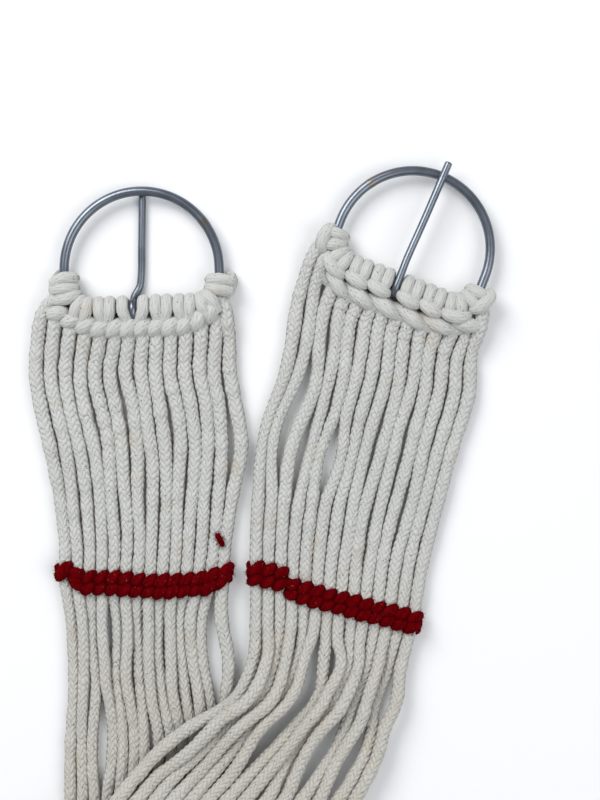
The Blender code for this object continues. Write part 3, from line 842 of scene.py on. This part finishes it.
def wool():
    """Dark red wool: the lines of its plies with painted shade in the grooves between them, mottled dye and
    small pale flecks.
    """
    material, tree, shader = painted_material(
        "red wool", Roughness=0.95, Specular_IOR_Level=0.02, Sheen_Weight=0.04, Sheen_Roughness=0.5,
        Sheen_Tint=(0.8, 0.05, 0.07, 1),
    )
    place = node(tree, "ShaderNodeTexCoord").outputs["Object"]
    round_vector, along = attribute(tree, "round", "Vector"), attribute(tree, "along")
    around = node(tree, "ShaderNodeSeparateXYZ", {0: round_vector})
    turn = calc(tree, "DIVIDE", calc(tree, "ARCTAN2", around.outputs[1], around.outputs[0]), math.tau)
    twist = calc(tree, "MULTIPLY_ADD", turn, YARN_PLIES, calc(tree, "DIVIDE", along, YARN_TWIST))
    ply = calc(tree, "POWER", hump(tree, calc(tree, "FRACT", twist)), 0.5)
    fibres = noise(tree, place, 1500.0, 3.0)
    mottle = noise(tree, place, 260.0, 3.0)
    fleck = spread(tree, noise(tree, place, 1100.0, 1.0), 0.74, 0.78, 0.0, 0.55)
    dyed = blended(tree, mottle, (0.100, 0.0002, 0.0012, 1), (0.165, 0.0004, 0.0028, 1))
    # Painted shade: the grooves between the plies are darker.
    ply_shaded = blended(tree, ply, (0.070, 0.0002, 0.0010, 1), dyed)
    flecked = blended(tree, fleck, ply_shaded, (0.45, 0.28, 0.27, 1))
    height = calc(tree, "ADD", ply, calc(tree, "MULTIPLY", fibres, 0.6))
    bump = node(tree, "ShaderNodeBump", {"Strength": 0.9, "Distance": 0.35 * MM, "Height": height})
    tree.links.new(flecked, shader.inputs["Base Color"])
    tree.links.new(bump.outputs["Normal"], shader.inputs["Normal"])
    return material


def fuzz_tree():
    """Short bent hairs that stand out of a surface at random."""
    tree, given, result = tree_with(
        "GeometryNodeTree",
        "yarn fuzz",
        (
            ("Surface", "Geometry", None),
            ("Density", "Float", 1.0e6),
            ("Hair Length", "Float", 1.2 * MM),
            ("Hair Radius", "Float", 0.06 * MM),
            ("Seed", "Int", 3),
            ("Finish", "Material", None),
        ),
        (("Hairs", "Geometry", None),),
    )
    # None grows on the underside, which lies on the ground.
    outward = node(tree, "GeometryNodeInputNormal")
    upward = node(tree, "ShaderNodeSeparateXYZ", {0: outward.outputs[0]}).outputs[2]
    points = node(
        tree, "GeometryNodeDistributePointsOnFaces",
        {
            "Mesh": given.outputs["Surface"],
            "Selection": calc(tree, "GREATER_THAN", upward, -0.1),
            "Density": given.outputs["Density"],
            "Seed": given.outputs["Seed"],
        },
    )
    bend = node(
        tree, "GeometryNodeCurveQuadraticBezier",
        {"Resolution": 3, "Start": (0, 0, -0.15), "Middle": (0.25, 0, 0.5), "End": (0.9, 0.1, 0.8)},
    )
    section = node(tree, "GeometryNodeCurvePrimitiveCircle", {"Resolution": 3, "Radius": 1.0})
    lengths = node(tree, "ShaderNodeCombineXYZ", {n: given.outputs["Hair Length"] for n in range(3)})
    long_hair = node(
        tree, "GeometryNodeTransform", {"Geometry": bend.outputs[0], "Scale": lengths.outputs[0]}
    )
    hair = node(
        tree, "GeometryNodeCurveToMesh",
        {
            "Curve": long_hair.outputs[0],
            "Profile Curve": section.outputs[0],
            "Scale": given.outputs["Hair Radius"],
            "Fill Caps": True,
        },
    )
    spin = node(
        tree, "FunctionNodeRandomValue",
        {0: (-0.8, -0.8, -math.pi), 1: (0.8, 0.8, math.pi), "Seed": given.outputs["Seed"]},
        data_type="FLOAT_VECTOR",
    )
    spun = node(tree, "FunctionNodeEulerToRotation", {0: spin.outputs[0]})
    turned = node(
        tree, "FunctionNodeRotateRotation",
        {0: points.outputs["Rotation"], 1: spun.outputs[0]},
        rotation_space="LOCAL",
    )
    size = node(
        tree, "FunctionNodeRandomValue", {2: 0.5, 3: 1.4, "Seed": given.outputs["Seed"]}, data_type="FLOAT"
    )
    placed = node(
        tree, "GeometryNodeInstanceOnPoints",
        {
            "Points": points.outputs[0],
            "Instance": hair.outputs[0],
            "Rotation": turned.outputs[0],
            "Scale": size.outputs[1],
        },
    )
    real = node(tree, "GeometryNodeRealizeInstances", {"Geometry": placed.outputs[0]})
    painted = node(
        tree, "GeometryNodeSetMaterial", {"Geometry": real.outputs[0], "Material": given.outputs["Finish"]}
    )
    tree.links.new(painted.outputs[0], result.inputs[0])
    return tree


def fuzzy(name, surface, finish, **inputs):
    """Hairs on a copy of the surface, as a plain mesh of their own."""
    source = bpy.data.objects.new(name + "_surface", surface.data.copy())
    bpy.context.scene.collection.objects.link(source)
    add_nodes(source, fuzz, {"Finish": finish} | inputs)
    return made_mesh(name, source)


red_wool = wool()
fuzz = fuzz_tree()
for key, band in BANDS.items():
    station = band["station"]
    knots, climbs = zip(*band["climb"])
    close_knots, closes = zip(*band["close"])
    lines = []
    for row in (-0.5, 0.5):
        for part in range(2):
            line = []
            for k in range(-BAND_STEPS // 2, (STRANDS - 1) * BAND_STEPS + BAND_STEPS // 2 + 1):
                cord_number = k / BAND_STEPS
                share = cord_number / (STRANDS - 1)
                uphill = station_point(station - 1, share) - station_point(station + 1, share)
                uphill.z = 0
                uphill.normalize()
                if key == "b":
                    uphill = -uphill
                angle = math.pi * (cord_number + 0.5 + part)
                slant = -BAND_SLANT * math.cos(angle)
                apart = row * BAND_ROW * float(np.interp(cord_number, close_knots, closes))
                climb = float(np.interp(cord_number, knots, climbs)) * MM
                base = station_point(station, share) + uphill * (climb + apart + slant)
                up = max(BAND_DEPTH * math.sin(angle), YARN + 0.1 * MM - base.z)
                edge = 0.88 + 0.12 * abs(math.sin(angle))
                uneven = 1 + 0.08 * math.sin(1.7 * cord_number + row)
                line.append((base + Vector((0, 0, up)), YARN * edge * uneven))
            lines.append(line)
    yarn = swept(
        f"red_twining_{key}", cord_sweep, lines, red_wool, Relief=0.2 * MM,
        Plaits=4.0, Plait_Length=4.0 * MM, Step=0.6 * MM, Sides=20,
    )
    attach(yarn, "webbing")
    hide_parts(f"red_band_{key}")
    hairs = fuzzy(f"red_fuzz_{key}", yarn, red_wool, Density=0.9e6, Seed=ord(key))
    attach(hairs, "webbing")

# Yarn tail: the cut end of the red yarn. It comes up between two cords above band A and lies in the groove
# between them, fuzzy all over and a little thinner at both ends.
TAIL_RADIUS = 1.5 * MM
TAIL_POINTS = ((1.5, -3.2, -1.0), (0.9, -1.8, 0.3), (0.0, 0.2, 0.9), (-0.9, 1.8, 1.0), (-1.6, 3.0, 0.9))
low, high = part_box("yarn_tail")
tail_middle = Vector([(a + b) / 2 for a, b in zip(low, high)])
tail_path = through([tail_middle + Vector(p) * MM for p in TAIL_POINTS], 6)
tail_line = []
for k, place in enumerate(tail_path):
    from_middle = abs(2 * k / len(tail_path) - 1)
    tail_line.append((place, TAIL_RADIUS * (1 - 0.25 * from_middle**3)))
tail = swept(
    "yarn_end", cord_sweep, [tail_line], red_wool, Relief=0.25 * MM,
    Plaits=3.0, Plait_Length=3.0 * MM, Step=0.3 * MM, Sides=16,
)
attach(tail, "webbing")
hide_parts("yarn_tail")
tail_hairs = fuzzy("yarn_end_fuzz", tail, red_wool, Density=3.0e6, Seed=5)
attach(tail_hairs, "webbing")

# The table: a plain pale sheet a hair below the cords, under soft light from two large lamps and a pale
# room. The lamps stand on opposite sides, the stronger beyond ring A.
TABLE_HALF = 3.0
TABLE_LEVEL = -0.3 * MM
corners = [(x * TABLE_HALF, y * TABLE_HALF, TABLE_LEVEL) for x, y in ((-1, -1), (1, -1), (1, 1), (-1, 1))]
floor_mesh = bpy.data.meshes.new("table_top")
floor_mesh.from_pydata(corners, [], [(0, 1, 2, 3)])
table_top = bpy.data.objects.new("table_top", floor_mesh)
bpy.context.scene.collection.objects.link(table_top)
floor_material, _, _ = painted_material(
    "pale table", Base_Color=(0.90, 0.90, 0.90, 1), Roughness=0.8, Specular_IOR_Level=0.1
)
floor_mesh.materials.append(floor_material)
world = bpy.data.worlds.new("room")
bpy.context.scene.world = world
world.use_nodes = True
sky = world.node_tree.nodes["Background"]
sky.inputs["Color"].default_value = (0.80, 0.84, 0.90, 1)
sky.inputs["Strength"].default_value = 0.55
for name, place, size, power in (
    ("window lamp", (-0.7, 0.9, 1.1), 0.9, 17.0),
    ("fill lamp", (0.9, -0.3, 1.3), 1.2, 9.0),
):
    light = bpy.data.lights.new(name, "AREA")
    light.size = size
    light.energy = power
    lamp = bpy.data.objects.new(name, light)
    lamp.location = place
    lamp.rotation_euler = (-Vector(place)).to_track_quat("-Z", "Y").to_euler()
    bpy.context.scene.collection.objects.link(lamp)
bpy.context.scene.view_settings.view_transform = "Standard"
